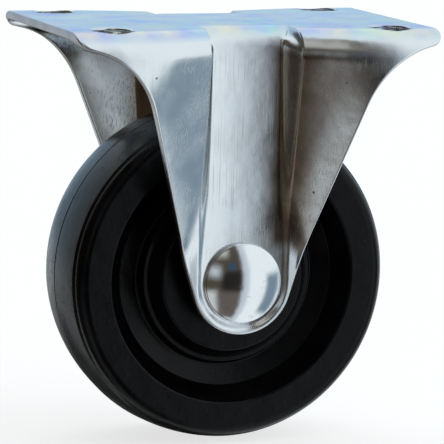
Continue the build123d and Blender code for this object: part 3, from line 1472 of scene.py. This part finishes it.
@dataclass(frozen=True)
class Studio:
    """The floor, the light and the camera."""

    azimuth: float = math.radians(19.874)
    elevation: float = math.radians(9.125)
    roll: float = math.radians(1.326)
    distance: float = 720.04 * MM
    aim_right: float = 2.0 * MM
    aim_up: float = 11.16 * MM
    aim_depth: float = 60.0 * MM
    focal_pixels: float = 3000.0
    image_pixels: float = 444.0
    sensor: float = 36.0
    floor_level: float = -100.0 * MM
    floor_side: float = 4.0
    floor_tone: tuple = (0.45, 0.45, 0.45, 1)
    floor_glow: float = 0.72
    room: tuple = (0.92, 0.98, 1.0, 1)
    panels: tuple = (
        LightPanel(165, 8, 50, 14, 8, (0.50, 0.69, 0.88, 1)),
        LightPanel(175, -50, 28, 35, 8, (0.05, 0.05, 0.05, 1)),
        LightPanel(66, -22, 12, 23, 5, (0.20, 0.275, 0.34, 1)),
        LightPanel(17, 0, 8, 70, 4, (0.60, 0.66, 0.72, 1)),
        LightPanel(-60, 6, 73, 68, 4, (0.13, 0.11, 0.098, 1)),
        LightPanel(-60, 30, 72, 46, 5, (0.080, 0.064, 0.047, 1)),
        LightPanel(-19, 62, 12, 30, 7, (0.56, 0.56, 0.51, 1)),
        LightPanel(-46, -44, 21, 25, 6, (0.62, 0.64, 0.64, 1)),
        LightPanel(-2, -4, 16, 15, 6, (0.022, 0.02, 0.018, 1)),
        LightPanel(-28, 10, 9, 8, 7, (0.56, 0.61, 0.64, 1)),
        LightPanel(-1, 18, 5, 5, 4, (0.03, 0.08, 0.16, 1)),
    )

    def camera(self) -> None:
        """Sets the camera where the photograph was taken from."""
        a, e = self.azimuth, self.elevation
        back = Vector((-math.sin(a) * math.cos(e), -math.cos(a) * math.cos(e), math.sin(e)))
        level = Vector((math.cos(a), -math.sin(a), 0))
        upright = back.cross(level)
        right = math.cos(self.roll) * level + math.sin(self.roll) * upright
        up = -math.sin(self.roll) * level + math.cos(self.roll) * upright
        place = Vector((0, 0, -self.aim_depth)) + back * self.distance
        place = place + right * self.aim_right + up * self.aim_up
        data = bpy.data.cameras.new("camera")
        data.sensor_width = self.sensor
        data.lens = self.focal_pixels / self.image_pixels * self.sensor
        data.clip_start, data.clip_end = 10 * MM, 100
        camera = bpy.data.objects.new("camera", data)
        camera.matrix_world = Matrix.Translation(place) @ Matrix((right, up, back)).transposed().to_4x4()
        bpy.context.scene.collection.objects.link(camera)
        bpy.context.scene.camera = camera

    def floor(self) -> None:
        """Lays the pale floor under the wheel."""
        shape = bmesh.new()
        bmesh.ops.create_grid(shape, x_segments=1, y_segments=1, size=self.floor_side / 2)
        bmesh.ops.translate(shape, verts=shape.verts, vec=(0, 0, self.floor_level))
        mesh = bpy.data.meshes.new("floor")
        shape.to_mesh(mesh)
        shape.free()
        floor = linked("floor", mesh)
        made = bpy.data.materials.new("pale_floor")
        made.use_nodes = True
        tree = ShaderTree(made.node_tree)
        tree.tree.nodes.clear()
        matt = tree.node("ShaderNodeBsdfDiffuse", values={"Color": self.floor_tone})
        seen = tree.node("ShaderNodeLightPath").outputs["Is Camera Ray"]
        glow = tree.node("ShaderNodeEmission", {"Strength": tree.maths("MULTIPLY", seen, self.floor_glow)})
        both = tree.node("ShaderNodeAddShader", {0: matt.outputs[0], 1: glow.outputs[0]})
        tree.node("ShaderNodeOutputMaterial", {"Surface": both.outputs[0]})
        mesh.materials.append(made)
        floor.visible_glossy = False

    def world(self) -> None:
        """Sets the white background, and the surroundings that light the castor."""
        world = bpy.data.worlds.new("studio")
        world.use_nodes = True
        bpy.context.scene.world = world
        tree = ShaderTree(world.node_tree)
        tree.tree.nodes.clear()
        way = tree.node("ShaderNodeTexCoord").outputs["Generated"]
        part = tree.node("ShaderNodeSeparateXYZ", {0: way}).outputs
        azimuth = tree.maths("ARCTAN2", part["X"], tree.maths("MULTIPLY", part["Y"], -1.0))
        elevation = tree.maths("ARCSINE", part["Z"])
        group = panel_group()
        colour = self.room
        for panel in self.panels:
            colour = tree.effect(
                group,
                Behind=colour,
                Azimuth=azimuth,
                Elevation=elevation,
                Middle_Azimuth=math.radians(panel.azimuth),
                Middle_Elevation=math.radians(panel.elevation),
                Half_Width=math.radians(panel.half_width),
                Half_Height=math.radians(panel.half_height),
                Softness=math.radians(panel.softness),
                Colour=panel.colour,
            )
        lit = tree.node("ShaderNodeBackground", {"Color": colour})
        white = tree.node("ShaderNodeBackground", values={"Color": (1, 1, 1, 1)})
        ray = tree.node("ShaderNodeLightPath").outputs
        seen = tree.maths("MAXIMUM", ray["Is Camera Ray"], ray["Is Transmission Ray"])
        shown = tree.node("ShaderNodeMixShader", {0: seen, 1: lit.outputs[0], 2: white.outputs[0]})
        tree.node("ShaderNodeOutputWorld", {"Surface": shown.outputs[0]})

    def build(self) -> None:
        """Sets up the whole studio."""
        self.camera()
        self.floor()
        self.world()
        bpy.context.scene.view_settings.view_transform = "Standard"


def main() -> None:
    """Builds the castor and its studio, and logs how many faces each piece has."""
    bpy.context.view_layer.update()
    Studio().build()
    turning = turning_tree()
    effects = Effects(streaks_group(), patches_group(), specks_group())
    pieces = [Bracket().build(ZincPlate().material(effects))]
    pieces.append(Wheel().build(turning, GlossMoulding().material(effects)))
    rivet_finish = TurnedSteel("polished_rivet").material(effects)
    tube_finish = TurnedSteel("turned_tube", roughness=0.3, mark_depth=0.004 * MM).material(effects)
    pieces += Axle().build(turning, rivet_finish, tube_finish)
    for piece in pieces:
        LOG.info("%s has %d faces", piece.name, len(piece.data.polygons))


if __name__ == "__main__":
    main()
